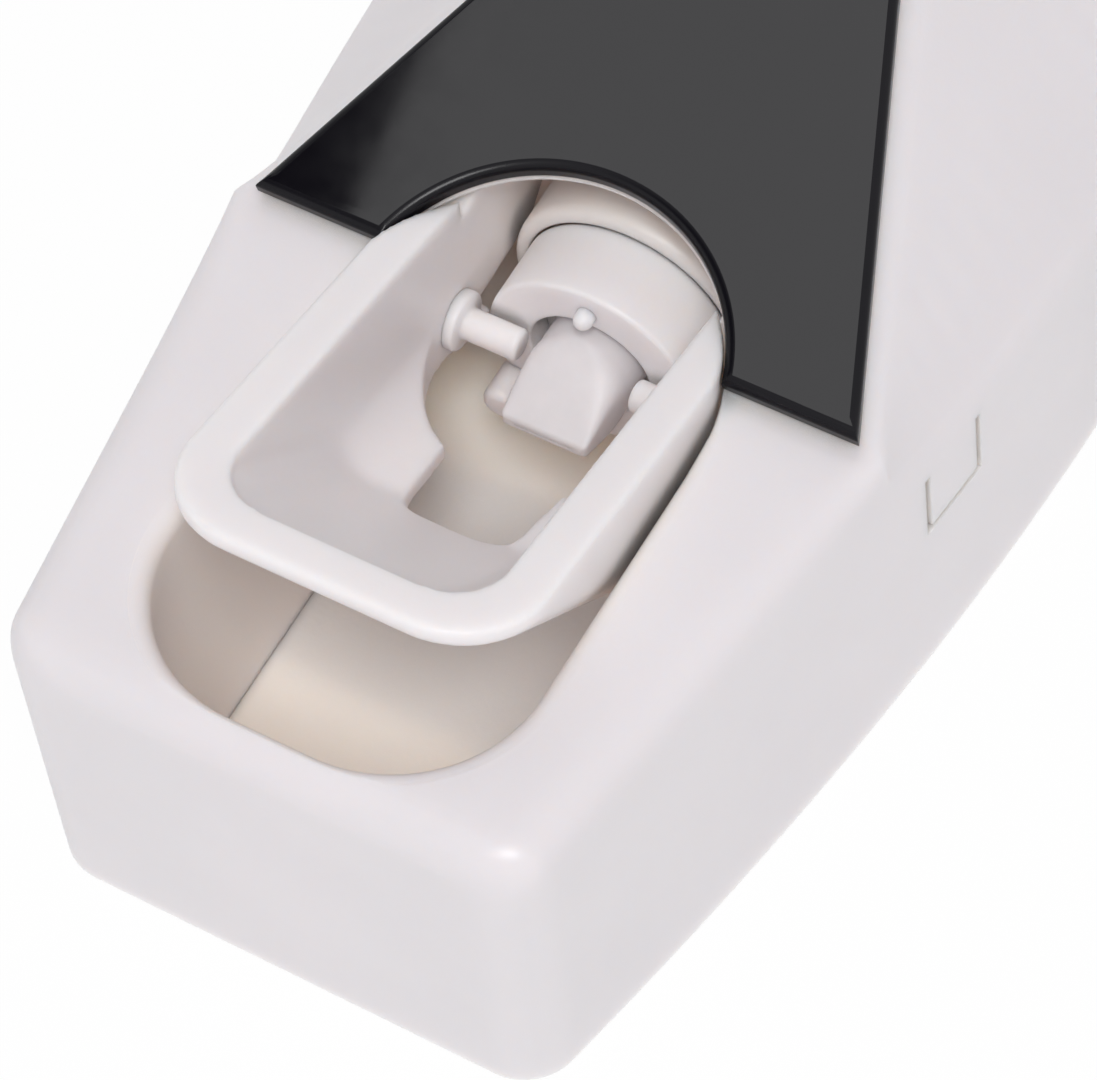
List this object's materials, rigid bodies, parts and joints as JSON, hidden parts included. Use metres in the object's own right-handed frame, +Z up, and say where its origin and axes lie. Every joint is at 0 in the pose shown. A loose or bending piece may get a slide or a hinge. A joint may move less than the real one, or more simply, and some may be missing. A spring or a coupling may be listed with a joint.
{
  "type": "toothpaste dispenser",
  "caption": "Wall-mounted toothpaste dispenser: a brush pushed into the front lever lifts a small piston pump that drops paste from a rubber nozzle in the well.",
  "frame": {"origin": "centre of the middle adhesive pad's back face, 75 mm above the bottom end, on the wall plane", "axes": "+Z up as mounted, +Y into the wall, the user stands at -Y, +X to the user's right"},
  "size_m": [0.0748, 0.0652, 0.1565],
  "materials": {
    "white_shell": "satin white ABS",
    "black_gloss": "polished black",
    "foam_tape": "matte foam tape",
    "white_cover": "fine matte white ABS",
    "foam_pad": "matte acrylic foam",
    "white_lever": "satin white ABS",
    "steel": "plain drawn steel",
    "natural_plastic": "natural polypropylene",
    "white_collar": "fine matte white",
    "black_rubber": "matte rubber",
    "white_silicone": "translucent matte silicone",
    "grey_plastic": "matte moulded",
    "soft_ring": "soft matte elastomer"
  },
  "bodies": {
    "housing": {"front_shell": "white_shell", "front_panel": "black_gloss", "panel_tape": "foam_tape", "back_cover": "white_cover", "adhesive_pads": "foam_pad", "pivot_pins": "steel", "pump_cylinder": "natural_plastic", "inlet_valve": "black_rubber", "pump_bracket": "grey_plastic", "bracket_screws": "steel", "cylinder_screws": "steel", "socket_gasket": "black_rubber", "tube_socket": "natural_plastic", "tube_seal": "white_silicone", "top_ring": "soft_ring"},
    "lever": {"push_lever": "white_lever"},
    "piston": {"pump_collar": "white_collar", "piston_seal": "black_rubber", "outlet_valve": "white_silicone", "valve_retainer": "natural_plastic", "return_spring": "steel"}
  },
  "joints": [
    {"name": "lever_hinge", "type": "hinge", "parent": "housing", "child": "lever", "pos_m": [0, -0.0355, -0.005], "axis": [1, 0, 0], "range_deg": [0, 15], "stiffness_Nm_per_rad": 0.05, "springref_deg": -20.05},
    {"name": "piston_slide", "type": "slide", "parent": "housing", "child": "piston", "axis": [0, 0, 1], "range_m": [0, 0.0037], "deforming": ["return_spring"]}
  ],
  "couplings": [
    {"joint": "piston_slide", "follows": "lever_hinge", "m_per_rad": 0.01394}
  ]
}
